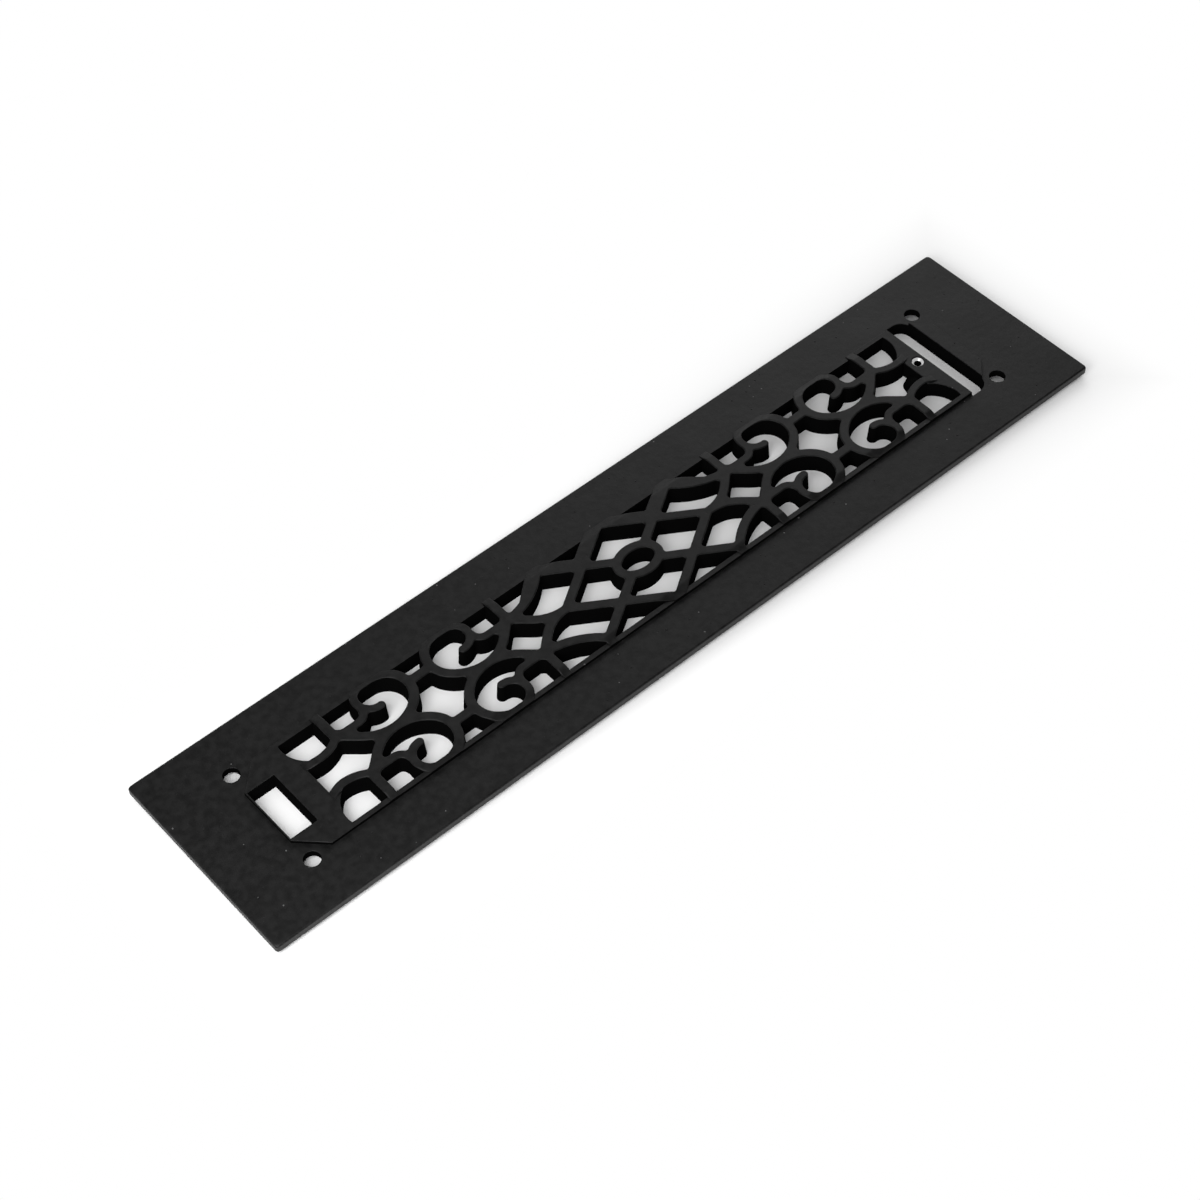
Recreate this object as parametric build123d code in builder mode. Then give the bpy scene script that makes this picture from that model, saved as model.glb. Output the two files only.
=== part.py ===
"""Cast floor register plate, 16 x 3 1/2 in, lying on its face with its back up.

It is one casting: a flat flange, a panel that stands up from its back to drop into the duct, and a
pierced scroll grille in that panel. X runs along the plate, Z is up, and the face lies on z = 0.
All sizes are in millimetres.
"""
import os
from math import asin, atan2, cos, degrees, radians, sqrt, tan

from build123d import *

# Flange
plate_length = 406.4
plate_width = 88.9
flange_thickness = 5.2
face_bevel = 1.9
back_edge_radius = 0.8

# Panel on the back of the flange, with a thin rail along each side of the grille
panel_length = 348.0
panel_width = 47.8
panel_corner_chamfer = 10.3
panel_rise = 1.4
rail_width = 2.0

# Bars of the grille, which stand up from the panel
bar_width = 3.8
slim_bar_width = 3.3
bar_rise = 1.4
bar_end = 152.0
opening_corner_radius = 1.2

# Oval ring at the middle of the grille, measured on its centre line
ring_half_length = 9.1
ring_half_height = 6.3
ring_end_radius = 5.0

# Crossed lattice bars on each side of the ring
lattice_top = 23.3
lattice_meet = 35.6
apex_x = 33.0

# Web that widens those bars towards the rail on the +Y side, and runs on to the stems
web_rise = 2.5
web_end_x = 46.0

# Sweeping bars round the square opening, the post above it and the stem that crosses them
square_x = 55.6
sweep_reach = 18.7
sweep_radius = 17.7
sweep_angle = 42.0
post_x = 55.2
stem_level = 10.2
stem_radius = 34.0
stem_flat_start = 57.8
stem_bend_radius = 4.5

# Scrolls, in pairs that face each other
scroll_pair_x = 95.5
scroll_level = 13.0
scroll_radius = 10.6
curl_x = 76.0
curl_radius = 6.15
curl_turn = 184.0
bridge_level = 12.7

# Arched bars and the openings at the two ends of the grille
arch_x = 145.5
arch_level = 6.9
end_opening_x = 140.6
end_opening_level = 19.5
end_opening_radius = 12.9
star_end_lever_side = 151.6
star_end_slot_side = 149.2

# Window for the damper's lever at one end, and the slot at the other
window_x = -167.5
window_length = 11.8
window_width = 25.8
slot_x = 162.4
slot_length = 9.6
slot_width = 49.2
slot_outer_radius = 5.5

# Screw holes, countersunk from the face
hole_spacing_x = 345.0
hole_spacing_y = 47.6
hole_diameter = 6.4
hole_land = 3.0
countersink_angle = 82.0

# Small tapped hole beside the slot, countersunk from the back
tapped_x = 153.9
tapped_y = 2.6
tapped_diameter = 2.9
tapped_depth = 5.0
tapped_countersink_diameter = 5.4
tapped_countersink_angle = 90.0

# Levels and reaches worked out from the sizes above
panel_top = flange_thickness + panel_rise
bar_top = panel_top + bar_rise
rail_inner = panel_width / 2 - rail_width
field_half_width = scroll_level + scroll_radius + 2 * bar_width
field_end = end_opening_x + end_opening_radius + 2 * opening_corner_radius
ring_run = ring_half_length - ring_end_radius
ring_rise = ring_half_height - ring_end_radius
ring_side_radius = (ring_run**2 + ring_half_height**2 - ring_end_radius**2) / (2 * ring_rise)
ring_side_angle = degrees(atan2(ring_run, ring_side_radius - ring_half_height))
falling_run = bar_width / 4
stem_turn = degrees(asin((stem_flat_start - apex_x) / stem_radius))
sweep_end = square_x + sweep_reach
scroll_drop = sweep_radius - scroll_level
scroll_run = sqrt((sweep_radius - scroll_radius) ** 2 - scroll_drop**2)
scroll_turn = degrees(atan2(scroll_run, scroll_drop))
curl_top = scroll_level + scroll_radius - (bar_width - slim_bar_width) / 2
star_x = 2 * scroll_pair_x - square_x
countersink_depth = flange_thickness - hole_land
countersink_radius = hole_diameter / 2 + countersink_depth * tan(radians(countersink_angle / 2))


def oval(grow):
    """Fills the ring's oval centre line, grown outwards by a distance, or shrunk by a negative one."""
    with BuildSketch() as sketch:
        with BuildLine():
            side = JernArc((0, ring_half_height + grow), (1, 0), ring_side_radius + grow, -ring_side_angle)
            JernArc(side @ 1, side % 1, ring_end_radius + grow, ring_side_angle - 90)
            mirror(about=Plane.YZ)
            mirror(about=Plane.XZ)
        make_face()
    return sketch.sketch


def end_land(star_end):
    """Fills the solid end of the panel up to the last openings of the grille, on the +X side."""
    with BuildSketch() as sketch:
        with Locations((end_opening_x, 0)):
            Rectangle(field_end, 2 * field_half_width, align=(Align.MIN, Align.CENTER))
            star_run = star_end - end_opening_x
            Rectangle(star_run, 2 * arch_level, align=(Align.MIN, Align.CENTER), mode=Mode.SUBTRACT)
        with Locations((end_opening_x, end_opening_level), (end_opening_x, -end_opening_level)):
            Circle(end_opening_radius, mode=Mode.SUBTRACT)
    return sketch.sketch


# Centre lines of the bars in one quarter of the grille
with BuildLine() as falling_bar:
    Line((-falling_run, lattice_top * (1 + falling_run / lattice_meet)), (lattice_meet, 0))

with BuildLine() as stem:
    apex = JernArc((stem_flat_start, stem_level), (-1, 0), stem_radius, -stem_turn) @ 1

with BuildLine() as rising_bar:
    Line((0, 0), apex)

with BuildLine() as apex_post:
    Line(apex, (apex.X, field_half_width))

# Centre line of the web on the +Y side, from the middle to the stem
rising_slope = apex.Y / apex.X
cross_x = lattice_top / (lattice_top / lattice_meet + rising_slope)
web_end_y = stem_level + stem_radius - sqrt(stem_radius**2 - (stem_flat_start - web_end_x) ** 2)
with BuildLine() as web:
    Polyline(
        (0, lattice_top + web_rise),
        (cross_x, cross_x * rising_slope + web_rise),
        (apex.X, apex.Y + web_rise),
        (web_end_x, web_end_y),
    )

with BuildLine() as left_sweep:
    Line((lattice_meet, 0), (square_x - sweep_reach, 0))
    sweep_arc = JernArc((square_x - sweep_reach, 0), (1, 0), sweep_radius, sweep_angle)
    sweep_run = (square_x - (sweep_arc @ 1).X) / cos(radians(sweep_angle))
    crossing = PolarLine(sweep_arc @ 1, sweep_run, sweep_angle) @ 1

with BuildLine() as right_sweep:
    add(left_sweep.line)
    mirror(about=Plane.YZ.offset(square_x), mode=Mode.REPLACE)

with BuildLine() as post:
    Line((post_x, stem_level), (post_x, field_half_width))

with BuildLine() as stem_end:
    stem_foot = JernArc((post_x, stem_level + stem_bend_radius), (0, -1), stem_bend_radius, 90)
    stem_flat = Line(stem_foot @ 1, (curl_x - curl_radius - stem_bend_radius, stem_level))
    JernArc(stem_flat @ 1, (1, 0), stem_bend_radius, 90)

with BuildLine() as scroll:
    scroll_start = JernArc((sweep_end, 0), (1, 0), sweep_radius, scroll_turn)
    scroll_arc = JernArc(scroll_start @ 1, scroll_start % 1, scroll_radius, 180 - scroll_turn)
    Line(scroll_arc @ 1, (curl_x, (scroll_arc @ 1).Y))

with BuildLine() as curl:
    curl_tip = JernArc((curl_x, curl_top), (-1, 0), curl_radius, curl_turn) @ 1

with BuildLine() as bridge:
    Line((sweep_end + scroll_run + scroll_radius, bridge_level), (scroll_pair_x, bridge_level))

with BuildLine() as arch:
    arch_far_end = (2 * arch_x - star_x, crossing.Y)
    arch_arc = ThreePointArc((star_x, crossing.Y), (arch_x, arch_level), arch_far_end)
    Line(arch_arc @ 1, arch_arc @ 1 + (arch_arc % 1) * 2 * bar_width)

# Bars of the whole grille, mirrored from that quarter
with BuildSketch() as scroll_bars:
    for bar in (right_sweep, post, scroll, bridge):
        trace(bar.line, bar_width)
    for bar in (stem_end, curl):
        trace(bar.line, slim_bar_width)
    with Locations(curl_tip):
        Circle(slim_bar_width / 2)
    mirror(about=Plane.YZ.offset(scroll_pair_x))

with BuildSketch() as bars:
    for bar in (falling_bar, rising_bar, apex_post, left_sweep, stem):
        trace(bar.line, bar_width)
    trace(arch.line, slim_bar_width)
    add(scroll_bars.sketch)
    add(oval(bar_width / 2))
    mirror(about=Plane.XZ)
    trace(web.line, bar_width)
    mirror(about=Plane.YZ)

# Spaces between the bars, with rounded corners
with BuildSketch() as spaces:
    Rectangle(2 * field_end, 2 * field_half_width)
    add(bars.sketch, mode=Mode.SUBTRACT)
    offset(amount=-opening_corner_radius)
    offset(amount=opening_corner_radius)
    add(oval(-bar_width / 2))

# Openings right through the plate, which stop at the rails and at the solid ends
with BuildSketch() as openings:
    add(spaces.sketch)
    Rectangle(2 * field_end, 2 * rail_inner, mode=Mode.INTERSECT)
    add(end_land(star_end_slot_side), mode=Mode.SUBTRACT)
    add(mirror(end_land(star_end_lever_side), about=Plane.YZ, mode=Mode.PRIVATE), mode=Mode.SUBTRACT)

# The casting
with BuildPart() as register_plate:
    # Flange, bevelled round its face and rounded round its back
    with BuildSketch():
        Rectangle(plate_length, plate_width)
    extrude(amount=flange_thickness)
    chamfer(register_plate.edges().group_by(Axis.Z)[0], face_bevel)
    fillet(register_plate.edges().group_by(Axis.Z)[-1], back_edge_radius)

    # Panel
    with BuildSketch(Plane.XY.offset(flange_thickness)) as panel_outline:
        Rectangle(panel_length, panel_width)
        chamfer(panel_outline.vertices(), panel_corner_chamfer)
    extrude(amount=panel_rise)

    # Grille
    with BuildSketch():
        add(openings.sketch)
    extrude(amount=panel_top, mode=Mode.SUBTRACT)
    with BuildSketch(Plane.XY.offset(panel_top)):
        Rectangle(2 * bar_end, panel_width)
        add(spaces.sketch, mode=Mode.SUBTRACT)
    extrude(amount=bar_rise)

    # Window and slot
    with BuildSketch():
        with Locations((window_x, 0)):
            Rectangle(window_length, window_width)
        with Locations((slot_x, 0)):
            slot = Rectangle(slot_length, slot_width)
        fillet(slot.vertices().group_by(Axis.X)[-1], slot_outer_radius)
    extrude(amount=panel_top, mode=Mode.SUBTRACT)

    # Screw holes
    with Locations(Plane.XY.rotated((180, 0, 0))):
        with GridLocations(hole_spacing_x, hole_spacing_y, 2, 2):
            CounterSinkHole(hole_diameter / 2, countersink_radius, flange_thickness, countersink_angle)

    # Tapped hole
    with Locations((tapped_x, tapped_y, panel_top)):
        CounterSinkHole(
            tapped_diameter / 2, tapped_countersink_diameter / 2, tapped_depth, tapped_countersink_angle
        )

register_plate.part.label = "register_plate"
os.makedirs("parts", exist_ok=True)
export_step(register_plate.part, "parts/register_plate.step")
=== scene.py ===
import math

import bmesh
import bpy
from mathutils import Matrix, Vector, noise


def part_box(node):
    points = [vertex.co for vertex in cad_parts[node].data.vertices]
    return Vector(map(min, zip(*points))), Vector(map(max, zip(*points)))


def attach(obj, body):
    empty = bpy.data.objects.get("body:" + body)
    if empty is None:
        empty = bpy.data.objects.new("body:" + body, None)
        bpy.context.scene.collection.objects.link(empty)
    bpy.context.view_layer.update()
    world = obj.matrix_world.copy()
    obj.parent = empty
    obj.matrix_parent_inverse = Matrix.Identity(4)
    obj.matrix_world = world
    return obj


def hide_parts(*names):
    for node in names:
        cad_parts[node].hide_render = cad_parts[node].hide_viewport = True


# A cast floor register plate that lies on its face: soft casting edges, satin black paint over a
# grainy skin, small nibs and worn specks on the back, a lump of iron left in one opening, and a
# tapped hole with a bare countersink. Lengths are in metres.
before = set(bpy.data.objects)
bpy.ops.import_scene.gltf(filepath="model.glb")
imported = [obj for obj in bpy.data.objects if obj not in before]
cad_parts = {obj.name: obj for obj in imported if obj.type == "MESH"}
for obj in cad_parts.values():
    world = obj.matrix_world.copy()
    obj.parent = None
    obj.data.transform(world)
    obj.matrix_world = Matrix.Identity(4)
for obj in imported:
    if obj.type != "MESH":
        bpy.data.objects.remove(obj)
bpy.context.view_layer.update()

MM = 0.001
plate_low, plate_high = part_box("register_plate")
plate_length = plate_high.x - plate_low.x

# Levels of the casting: its face, the back of its flange, its panel and its bars
face_level = plate_low.z
flange_back = 5.2 * MM
panel_top = 6.6 * MM
bar_top = plate_high.z

# Inner sides of the rails, where the openings end
rail_inner = 21.9 * MM

# Soft edges: at the corners of the plate, along the bars, and round the panel and the holes
corner_edge = 1.2 * MM
bar_edge = 0.45 * MM
panel_edge = 0.24 * MM
edge_steps = 3
rim_width = 2.5 * MM

# Draft of the walls in the openings, and how many times as far a sharp corner may move
wall_draft = 0.5 * MM
longest_move = 3.0

# Bars, which run out into the ends of the panel and into its rails: where that starts and ends
run_out_along = (146.5 * MM, 152.0 * MM)
run_out_across = (19.5 * MM, 23.6 * MM)
run_out_steps = 4
run_out_share = 0.85

# How near points count as one, and as on one level
weld_gap = 0.05 * MM
level_slack = 0.01 * MM

# Z of a unit normal or direction: the least on a level face, the most on a wall and on a level edge
level_face_z = 0.999
wall_face_z = 0.6
level_edge_z = 0.05

# Turn at an edge: the most on a flat face, and the least at a corner and at a sharp edge
flat_turn = math.radians(1.0)
corner_turn = math.radians(5.0)
sharp_turn = math.radians(35.0)

# Weight of large faces in the shading of the roundings beside them
large_face_weight = 100

# Satin black paint: its tones, in patches, its roughness, and the painted shade of its steep walls
paint_dark = 0.0014
paint_light = 0.0066
patch_start = 0.25
patch_end = 0.75
paint_rough = 0.44
bump_rough = 0.12
swell_rough = 0.08
paint_shine = 0.4
# Painted shade: a dark matt tone, without shine, for the steep walls and the lump
painted_shade_tone = 0.0025
painted_shade_mark = "painted_shade_wall"

# Cast skin under the paint: how wide its grain, bumps, swells and pits are
grain_size = 0.45 * MM
bump_size = 3.0 * MM
swell_size = 22.0 * MM
pit_spacing = 5.5 * MM
pit_core = 0.15 * MM
pit_rim = 0.5 * MM

# How deep they are, in millimetres, and the share of that depth that shows
grain_depth = 0.03
bump_depth = 0.10
swell_depth = 0.25
pit_depth = 0.06
relief_share = 0.9

# Small tapped hole beside the slot, whose countersink is bare metal
tapped_x = 153.9 * MM
tapped_y = 2.6 * MM
tapped_radius = 1.55 * MM
bare_radius = 2.4 * MM
bare_foot = 4.0 * MM
bare_tone = 0.85
bare_metal = 0.35
bare_polish = 0.2

# Painted nibs and specks of bare iron, on the flange and the panel but not on the bars
scatter_top = (panel_top + bar_top) / 2
scatter_steps = 2
nib_sizes = {
    "Per Square Metre": 9000.0,
    "Highest Level": scatter_top,
    "Smallest Radius": 0.12 * MM,
    "Largest Radius": 0.40 * MM,
    "Height Share": 0.4,
    "Seed": 4,
}
speck_sizes = {
    "Per Square Metre": 1800.0,
    "Highest Level": scatter_top,
    "Smallest Radius": 0.18 * MM,
    "Largest Radius": 0.36 * MM,
    "Height Share": 0.35,
    "Seed": 11,
}
speck_dark = 0.03
speck_light = 0.14
speck_rough = 0.45
wear_rough = 0.2
wear_size = 0.6 * MM

# Lump of iron left in the last opening, between the arch and the end of the panel
lump_place = Vector((149.3, -3.6, 0.0)) * MM
lump_size = Vector((6.5, 6.4, 5.0)) * MM
lump_steps = 5
lump_arch_side = -7.2 * MM
lump_panel_side = 150.4 * MM
lump_dent = 0.35 * MM
dents_apart = 2.6 * MM
dome_face_corners = 4

# Floor, just under the plate: its tone and width, and how far out it keeps a shadow
floor_tone = 0.95
floor_width = 120 * plate_length
floor_gap = 0.02 * MM
shadow_reach = 30 * MM

# Room: its even light, and what reflections show, dark above a white skyline
white = 1.0
room_light = 0.68
room_tone = 0.05
skyline = 0.05

# Soft lamps: a large one beyond the far corner, and a small one close above the near side
far_lamp = {
    "place": Vector((0.95, 0.9, 0.7)),
    "aim": Vector((0.0, 0.0, face_level)),
    "size": 0.9,
    "watts": 4.8,
}
near_lamp = {
    "place": Vector((-0.4, -0.16, 0.34)),
    "aim": Vector((-0.2, 0.0, 0.0)),
    "size": 0.3,
    "watts": 1.9,
}

# Camera, found by matching the plate's edges and holes to the photograph. Its focus is in the
# photograph's pixels, and its sensor is in millimetres.
photo_size = 1200
camera_place = Vector((-400.4, -456.4, 724.5)) * MM
camera_aim = Vector((-22.55, -3.8, 5.2)) * MM
camera_roll = math.radians(1.84)
camera_focus = 2486.4
sensor = 36.0


class Value:
    """The output of a node. A sum on values adds the Math node that works it out."""

    def __init__(self, graph, socket):
        self.graph = graph
        self.socket = socket

    def math(self, operation, first, second=0.0):
        return self.graph.add("ShaderNodeMath", {"operation": operation}, {0: first, 1: second})

    def __add__(self, other):
        return self.math("ADD", self, other)

    def __radd__(self, other):
        return self.math("ADD", other, self)

    def __sub__(self, other):
        return self.math("SUBTRACT", self, other)

    def __rsub__(self, other):
        return self.math("SUBTRACT", other, self)

    def __mul__(self, other):
        return self.math("MULTIPLY", self, other)

    def __rmul__(self, other):
        return self.math("MULTIPLY", other, self)

    def __pow__(self, other):
        return self.math("POWER", self, other)

    def __abs__(self):
        return self.math("ABSOLUTE", self)

    def __lt__(self, other):
        return self.math("LESS_THAN", self, other)

    def __gt__(self, other):
        return self.math("GREATER_THAN", self, other)


class Graph:
    """A node tree, with one method that adds any node to it."""

    def __init__(self, tree):
        self.tree = tree
        self.tree.nodes.clear()

    def add(self, kind, settings=None, inputs=None, out=0):
        """Adds a node, makes its settings, fills its inputs and gives one of its outputs."""
        node = self.tree.nodes.new(kind)
        for name, value in (settings or {}).items():
            setattr(node, name, value)
        for name, value in (inputs or {}).items():
            self.fill(self.pick(node.inputs, name), value)
        return Value(self, self.pick(node.outputs, out)) if len(node.outputs) else node

    def pick(self, sockets, name):
        """The socket of that name, or of that number, that is in use."""
        if isinstance(name, int):
            return sockets[name]
        return next(socket for socket in sockets if socket.name == name and socket.enabled)

    def fill(self, socket, value):
        """Links a value to a socket, or sets the socket to a number, colour or vector."""
        if isinstance(value, Value):
            self.tree.links.new(value.socket, socket)
        else:
            socket.default_value = value

    def part(self, vector, axis):
        """One part of a vector: X, Y or Z."""
        return self.add("ShaderNodeSeparateXYZ", None, {0: vector}, axis)

    def between(self, value, low, high):
        """Goes smoothly from 0 where the value is low to 1 where it is high."""
        settings = {"interpolation_type": "SMOOTHSTEP"}
        inputs = {"Value": value, "From Min": low, "From Max": high}
        return self.add("ShaderNodeMapRange", settings, inputs)

    def mix(self, share, first, second):
        """Mixes two colours."""
        inputs = {"Factor": share, "A": first, "B": second}
        return self.add("ShaderNodeMix", {"data_type": "RGBA"}, inputs, "Result")

    def noise(self, place, size, detail=2.0, rough=0.5):
        """Noise whose lumps are about that size, in metres."""
        inputs = {"Vector": place, "Scale": 1 / size, "Detail": detail, "Roughness": rough}
        return self.add("ShaderNodeTexNoise", {"noise_dimensions": "3D"}, inputs)

    def dots(self, place, spacing, inner, outer):
        """Scattered round dots, 1 inside the inner radius and 0 past the outer one."""
        inputs = {"Vector": place, "Scale": 1 / spacing, "Randomness": 1.0}
        gap = self.add("ShaderNodeTexVoronoi", {"feature": "F1"}, inputs, "Distance")
        return 1 - self.between(gap, inner / spacing, outer / spacing)


def grey(level):
    """A grey of that level, as a colour."""
    return (level, level, level, 1.0)


def new_material(name):
    """A new material, and its empty graph."""
    material = bpy.data.materials.new(name)
    material.use_nodes = True
    return material, Graph(material.node_tree)


def black_paint():
    """Satin black paint over a cast skin, painted shade on steep walls, bare at the countersink."""
    material, graph = new_material("satin_black_paint")
    place = graph.add("ShaderNodeTexCoord", out="Object")
    # Faces that get painted shade: the steep walls and the lump
    painted_shade = graph.add("ShaderNodeAttribute", {"attribute_name": painted_shade_mark}, None, "Fac")

    # Cast skin: fine grain, wider unevenness and shallow pits
    grain = graph.noise(place, grain_size, detail=3.0, rough=0.6)
    bumps = graph.noise(place, bump_size)
    swell = graph.noise(place, swell_size, detail=1.0)
    pits = graph.dots(place, pit_spacing, pit_core, pit_rim)
    relief = grain_depth * grain + bump_depth * bumps + swell_depth * swell - pit_depth * pits
    inputs = {"Strength": relief_share, "Distance": MM, "Height": relief}
    bump = graph.add("ShaderNodeBump", None, inputs)

    # Bare metal on the countersink of the tapped hole
    out_x = graph.part(place, "X") - tapped_x
    out_y = graph.part(place, "Y") - tapped_y
    from_hole = (out_x * out_x + out_y * out_y) ** 0.5
    high = graph.part(place, "Z") > bare_foot
    bare = (from_hole < bare_radius) * (from_hole > tapped_radius) * high

    patches = graph.between(bumps, patch_start, patch_end)
    tone = graph.mix(patches, grey(paint_dark), grey(paint_light))
    inputs = {
        "Base Color": graph.mix(bare, tone, grey(bare_tone)),
        "Roughness": paint_rough + bump_rough * bumps + swell_rough * swell - bare_polish * bare,
        "Metallic": bare_metal * bare,
        "Specular IOR Level": paint_shine,
        "Normal": bump,
    }
    satin = graph.add("ShaderNodeBsdfPrincipled", None, inputs)
    # A dark matt coat without shine, the painted shade on those faces
    painted_shade_coat = graph.add("ShaderNodeBsdfDiffuse", None, {"Color": grey(painted_shade_tone), "Normal": bump})
    skin = graph.add("ShaderNodeMixShader", None, {0: painted_shade, 1: satin, 2: painted_shade_coat})
    graph.add("ShaderNodeOutputMaterial", None, {"Surface": skin})
    return material


def bare_iron():
    """Pale worn tops of the specks, greyer in places."""
    material, graph = new_material("bare_iron")
    place = graph.add("ShaderNodeTexCoord", out="Object")
    wear = graph.noise(place, wear_size)
    inputs = {
        "Base Color": graph.mix(wear, grey(speck_dark), grey(speck_light)),
        "Roughness": speck_rough + wear_rough * wear,
    }
    iron = graph.add("ShaderNodeBsdfPrincipled", None, inputs)
    graph.add("ShaderNodeOutputMaterial", None, {"Surface": iron})
    return material


def new_piece(name, data):
    """A new object in the scene, of a mesh, a lamp or a camera."""
    piece = bpy.data.objects.new(name, data)
    bpy.context.scene.collection.objects.link(piece)
    return piece


def plain_mesh(piece):
    """Turns a piece and its modifiers into a plain mesh."""
    seen = piece.evaluated_get(bpy.context.evaluated_depsgraph_get())
    mesh = bpy.data.meshes.new_from_object(seen)
    piece.modifiers.clear()
    piece.data = mesh


def coat(piece, material):
    """Gives a piece its one material."""
    piece.data.materials.clear()
    piece.data.materials.append(material)


def at_level(item, level):
    """Whether all of an edge or a face lies at a level."""
    return all(abs(vert.co.z - level) < level_slack for vert in item.verts)


def on_rim(reach, half_size):
    """Whether a point that far out is near the outer side of the plate."""
    return abs(reach) > half_size - rim_width


def is_wall(face):
    """Whether a face is steep."""
    return abs(face.normal.z) < wall_face_z


def softness(edge):
    """The share of the widest rounding that an edge gets."""
    ends = [vert.co for vert in edge.verts]
    turn = edge.calc_face_angle() if edge.is_convex else 0.0
    slope = abs((ends[1] - ends[0]).normalized().z)
    if slope > level_edge_z:
        at_corner = all(on_rim(end.x, plate_high.x) and on_rim(end.y, plate_high.y) for end in ends)
        return 1.0 if at_corner and turn > corner_turn else 0.0
    if turn < sharp_turn:
        return 0.0
    if at_level(edge, bar_top):
        return bar_edge / corner_edge
    on_rail = all(abs(abs(end.y) - rail_inner) < level_slack for end in ends)
    at_face = at_level(edge, face_level) and any(is_wall(face) for face in edge.link_faces)
    return 0.0 if on_rail or at_face else panel_edge / corner_edge


def rounded_copy(node, name):
    """A copy of a node whose outer edges are rounded."""
    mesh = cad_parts[node].data.copy()
    shape = bmesh.new()
    shape.from_mesh(mesh)
    bmesh.ops.remove_doubles(shape, verts=shape.verts, dist=weld_gap)
    bmesh.ops.dissolve_limit(shape, angle_limit=flat_turn, verts=shape.verts, edges=shape.edges)
    weight = shape.edges.layers.float.new("bevel_weight_edge")
    for edge in shape.edges:
        edge[weight] = softness(edge)
    shape.to_mesh(mesh)
    shape.free()
    piece = new_piece(name, mesh)
    bevel = piece.modifiers.new("soft edges", "BEVEL")
    bevel.width = corner_edge
    bevel.segments = edge_steps
    bevel.limit_method = "WEIGHT"
    bevel.use_clamp_overlap = False
    bevel.loop_slide = False
    plain_mesh(piece)
    return piece


def refill(shape, level):
    """Fills the flat faces of a level again, so that the openings in them stay clear."""
    flats = [face for face in shape.faces if at_level(face, level)]
    bmesh.ops.delete(shape, geom=flats, context="FACES_ONLY")
    rim = [edge for edge in shape.edges if edge.is_boundary and at_level(edge, level)]
    bmesh.ops.triangle_fill(shape, use_beauty=True, edges=rim, normal=(0, 0, 1))


def draw_in(shape):
    """Gives the walls of the openings their draft: at the face they stand in a little."""
    shape.normal_update()
    moves = []
    for vert in shape.verts:
        walls = [face.normal for face in vert.link_faces if is_wall(face)]
        if walls and abs(vert.co.z - face_level) < level_slack:
            first, last = walls[0], walls[-1]
            reach = (first + last) / max(1 + first.dot(last), 2 / longest_move ** 2)
            moves.append((vert, wall_draft * reach))
    for vert, move in moves:
        vert.co += move


def mark_painted_shade_walls(shape):
    """Marks the steep faces in the openings and round the panel, for the painted shade."""
    painted_shade = shape.faces.layers.float.new(painted_shade_mark)
    for face in shape.faces:
        middle = face.calc_center_median()
        outside = on_rim(middle.x, plate_high.x) or on_rim(middle.y, plate_high.y)
        foot = min(vert.co.z for vert in face.verts)
        inside = is_wall(face) and foot < flange_back + level_slack and not outside
        face[painted_shade] = 1.0 if inside else 0.0


def cut(shape, place, outwards, **settings):
    """Cuts the faces of a shape along a plane."""
    body = shape.verts[:] + shape.edges[:] + shape.faces[:]
    bmesh.ops.bisect_plane(shape, geom=body, plane_co=place, plane_no=outwards, **settings)


def run_out(shape):
    """Lets the bars sink smoothly into the ends and the rails of the panel."""
    for axis, (start, end) in enumerate((run_out_along, run_out_across)):
        outwards = Vector((1 - axis, axis, 0))
        for step in range(run_out_steps):
            reach = start + (end - start) * step / run_out_steps
            cut(shape, outwards * reach, outwards, dist=level_slack)
            cut(shape, -outwards * reach, outwards, dist=level_slack)
        for vert in shape.verts:
            past = min(max((abs(vert.co[axis]) - start) / (end - start), 0.0), 1.0)
            rise = vert.co.z - panel_top
            if rise > level_slack:
                vert.co.z -= rise * run_out_share * past * past * (3 - 2 * past)


def level_normals(mesh):
    """Shades the level faces as flat, and lets each rounding start from them evenly."""
    normals = [corner.vector.copy() for corner in mesh.corner_normals]
    level = {}
    for face in mesh.polygons:
        if abs(face.normal.z) > level_face_z:
            level.update((vert, face.normal.copy()) for vert in face.vertices)
    for face in mesh.polygons:
        for vert, corner in zip(face.vertices, face.loop_indices):
            if vert in level and face.normal.angle(level[vert]) < sharp_turn:
                normals[corner] = level[vert]
    mesh.normals_split_custom_set(normals)


def shade_evenly(piece):
    """Shades the roundings after the larger faces beside them."""
    shading = piece.modifiers.new("even shading", "WEIGHTED_NORMAL")
    shading.weight = large_face_weight
    shading.keep_sharp = True
    plain_mesh(piece)
    level_normals(piece.data)


def soft_casting(node, name, material):
    """A copy of a node as it was cast: rounded edges, drafted walls and bars that run out."""
    piece = rounded_copy(node, name)
    shape = bmesh.new()
    shape.from_mesh(piece.data)
    for level in (face_level, flange_back, panel_top, bar_top):
        refill(shape, level)
    stray = [edge for edge in shape.edges if edge.is_wire]
    bmesh.ops.delete(shape, geom=stray, context="EDGES")
    bmesh.ops.recalc_face_normals(shape, faces=shape.faces)
    draw_in(shape)
    mark_painted_shade_walls(shape)
    run_out(shape)
    for face in shape.faces:
        face.smooth = True
    for edge in shape.edges:
        edge.smooth = edge.calc_face_angle() < sharp_turn
    shape.to_mesh(piece.data)
    shape.free()
    shade_evenly(piece)
    coat(piece, material)
    return piece


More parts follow.
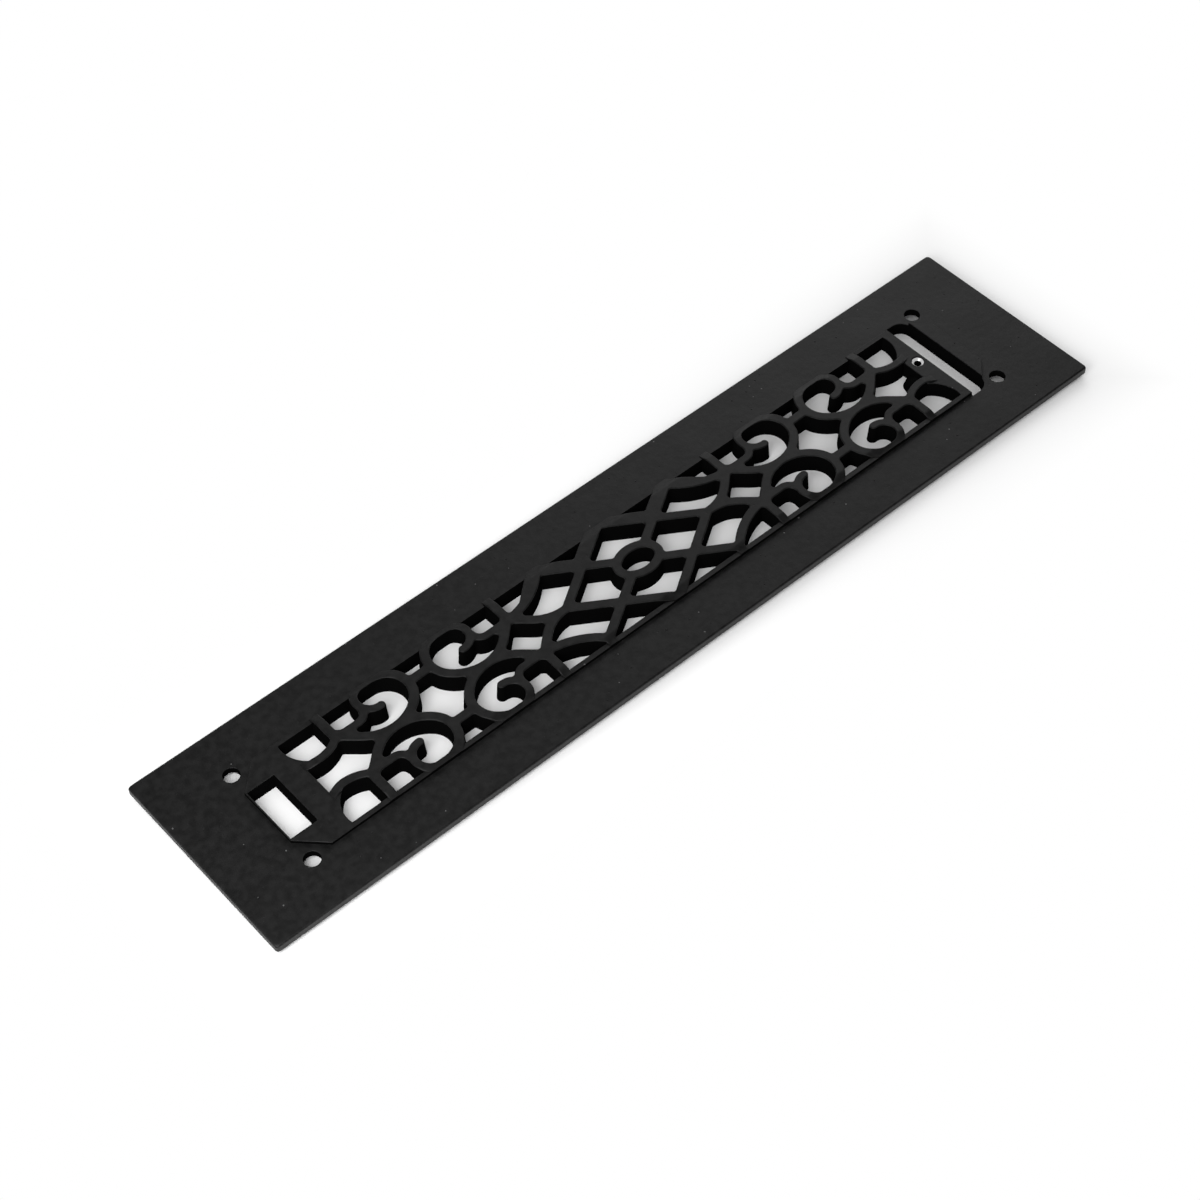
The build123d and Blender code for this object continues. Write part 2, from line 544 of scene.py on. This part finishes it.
def casting_lump(name, material):
    """A rough low dome all in painted shade, cut off inside the bar and the panel that carry it."""
    shape = bmesh.new()
    bmesh.ops.create_icosphere(shape, subdivisions=lump_steps, radius=1.0)
    for vert in shape.verts:
        out = vert.co.copy()
        vert.co = lump_place + out * lump_size
        vert.co += out * lump_dent * noise.noise(vert.co / dents_apart)
    sides = (
        ((0, 0, face_level), (0, 0, -1)),
        ((0, lump_arch_side, 0), (0, -1, 0)),
        ((lump_panel_side, 0, 0), (1, 0, 0)),
    )
    for place, outwards in sides:
        cut(shape, place, outwards, clear_outer=True)
        bmesh.ops.remove_doubles(shape, verts=shape.verts, dist=weld_gap)
        bmesh.ops.holes_fill(shape, edges=[edge for edge in shape.edges if edge.is_boundary])
    # The whole lump gets the dark matt coat of painted shade
    painted_shade = shape.faces.layers.float.new(painted_shade_mark)
    for face in shape.faces:
        face[painted_shade] = 1.0
        face.smooth = len(face.verts) <= dome_face_corners
    mesh = bpy.data.meshes.new(name)
    shape.to_mesh(mesh)
    shape.free()
    piece = new_piece(name, mesh)
    coat(piece, material)
    return piece


def scatter_tree(name, material):
    """A tree that scatters low round lumps over the level faces that look up, below a level."""
    tree = bpy.data.node_groups.new(name, "GeometryNodeTree")
    sizes = ("Per Square Metre", "Highest Level", "Smallest Radius", "Largest Radius", "Height Share")
    tree.interface.new_socket("Casting", in_out="INPUT", socket_type="NodeSocketGeometry")
    for size in sizes:
        tree.interface.new_socket(size, in_out="INPUT", socket_type="NodeSocketFloat")
    tree.interface.new_socket("Seed", in_out="INPUT", socket_type="NodeSocketInt")
    tree.interface.new_socket("Lumps", in_out="OUTPUT", socket_type="NodeSocketGeometry")
    graph = Graph(tree)

    def given(socket):
        return graph.add("NodeGroupInput", out=socket)

    level = graph.part(graph.add("GeometryNodeInputNormal"), "Z") > level_face_z
    low = graph.part(graph.add("GeometryNodeInputPosition"), "Z") < given("Highest Level")
    inputs = {
        "Mesh": given("Casting"),
        "Selection": level * low,
        "Density": given("Per Square Metre"),
        "Seed": given("Seed"),
    }
    points = graph.add("GeometryNodeDistributePointsOnFaces", {"distribute_method": "RANDOM"}, inputs)
    inputs = {"Min": given("Smallest Radius"), "Max": given("Largest Radius"), "Seed": given("Seed")}
    radius = graph.add("FunctionNodeRandomValue", {"data_type": "FLOAT"}, inputs, "Value")
    inputs = {"X": radius, "Y": radius, "Z": radius * given("Height Share")}
    scale = graph.add("ShaderNodeCombineXYZ", None, inputs)
    inputs = {"Radius": 1.0, "Subdivisions": scatter_steps}
    lump = graph.add("GeometryNodeMeshIcoSphere", None, inputs)
    inputs = {"Points": points, "Instance": lump, "Scale": scale}
    lumps = graph.add("GeometryNodeInstanceOnPoints", None, inputs)
    lumps = graph.add("GeometryNodeRealizeInstances", None, {0: lumps})
    lumps = graph.add("GeometryNodeSetShadeSmooth", None, {"Geometry": lumps})
    lumps = graph.add("GeometryNodeSetMaterial", None, {"Geometry": lumps, "Material": material})
    graph.add("NodeGroupOutput", None, {"Lumps": lumps})
    return tree


def scatter(name, casting, material, sizes):
    """Small lumps of the casting's skin, as one plain mesh."""
    piece = new_piece(name, casting.data.copy())
    tree = scatter_tree(name, material)
    modifier = piece.modifiers.new(name, "NODES")
    modifier.node_group = tree
    for socket in tree.interface.items_tree:
        if socket.name in sizes:
            modifier[socket.identifier] = sizes[socket.name]
    plain_mesh(piece)
    coat(piece, material)
    return piece


def seen_ray(graph):
    """1 for a ray from the camera, a reflection or clear stuff, and 0 for one that carries light."""
    kinds = ("Is Camera Ray", "Is Glossy Ray", "Is Transmission Ray")
    first, second, third = (graph.add("ShaderNodeLightPath", out=kind) for kind in kinds)
    return first + second + third


def pale_floor():
    """A wide floor that keeps the plate's shadow close by and goes to white further out."""
    material, graph = new_material("pale_floor")
    place = graph.add("ShaderNodeTexCoord", out="Object")
    out_x = abs(graph.part(place, "X")) - plate_high.x
    out_y = abs(graph.part(place, "Y")) - plate_high.y
    away = graph.between(out_x.math("MAXIMUM", out_x, out_y), 0.0, shadow_reach)
    diffuse = graph.add("ShaderNodeBsdfDiffuse", None, {"Color": grey(floor_tone)})
    glow = graph.add("ShaderNodeEmission", None, {"Color": grey(white), "Strength": 1.0})
    shown = graph.add("ShaderNodeMixShader", None, {0: away * seen_ray(graph), 1: diffuse, 2: glow})
    graph.add("ShaderNodeOutputMaterial", None, {"Surface": shown})
    reach = floor_width / 2
    corners = [(-reach, -reach, 0), (reach, -reach, 0), (reach, reach, 0), (-reach, reach, 0)]
    mesh = bpy.data.meshes.new("floor")
    mesh.from_pydata(corners, [], [(0, 1, 2, 3)])
    floor = new_piece("floor", mesh)
    floor.location.z = face_level - floor_gap
    coat(floor, material)


def pale_room():
    """Even light from all round. Reflections see a dark room with a white skyline."""
    world = bpy.data.worlds.new("pale_room")
    world.use_nodes = True
    graph = Graph(world.node_tree)
    rise = graph.part(graph.add("ShaderNodeTexCoord", out="Generated"), "Z")
    shade = graph.mix(graph.between(rise, 0.0, skyline), grey(white), grey(room_tone))
    light = graph.add("ShaderNodeBackground", None, {"Color": grey(white), "Strength": room_light})
    walls = graph.add("ShaderNodeBackground", None, {"Color": shade, "Strength": 1.0})
    shown = graph.add("ShaderNodeMixShader", None, {0: seen_ray(graph), 1: light, 2: walls})
    graph.add("ShaderNodeOutputWorld", None, {"Surface": shown})
    bpy.context.scene.world = world


def softbox(name, place, aim, size, watts):
    """A square soft lamp that looks at a point."""
    lamp = bpy.data.lights.new(name, "AREA")
    lamp.size = size
    lamp.energy = watts
    holder = new_piece(name, lamp)
    holder.location = place
    holder.rotation_euler = (aim - place).to_track_quat("-Z", "Y").to_euler()


def photo_camera():
    """The camera at the photograph's place, tilted as it was."""
    camera = bpy.data.cameras.new("photo_camera")
    camera.sensor_width = sensor
    camera.lens = camera_focus * sensor / photo_size
    holder = new_piece("photo_camera", camera)
    look = (camera_aim - camera_place).to_track_quat("-Z", "Y").to_matrix().to_4x4()
    roll = Matrix.Rotation(-camera_roll, 4, "Z")
    holder.matrix_world = Matrix.Translation(camera_place) @ look @ roll
    bpy.context.scene.camera = holder


# The plate
paint = black_paint()
plate = soft_casting("register_plate", "plate_casting", paint)
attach(plate, "root")
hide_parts("register_plate")

# Painted nibs, a few specks worn bare, and the lump
nibs = scatter("casting_nibs", plate, paint, nib_sizes)
specks = scatter("worn_specks", plate, bare_iron(), speck_sizes)
lump = casting_lump("casting_lump", paint)
for piece in (nibs, specks, lump):
    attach(piece, "root")

# The studio
pale_floor()
pale_room()
softbox("far_softbox", **far_lamp)
softbox("near_softbox", **near_lamp)
photo_camera()
bpy.context.scene.view_settings.view_transform = "Standard"
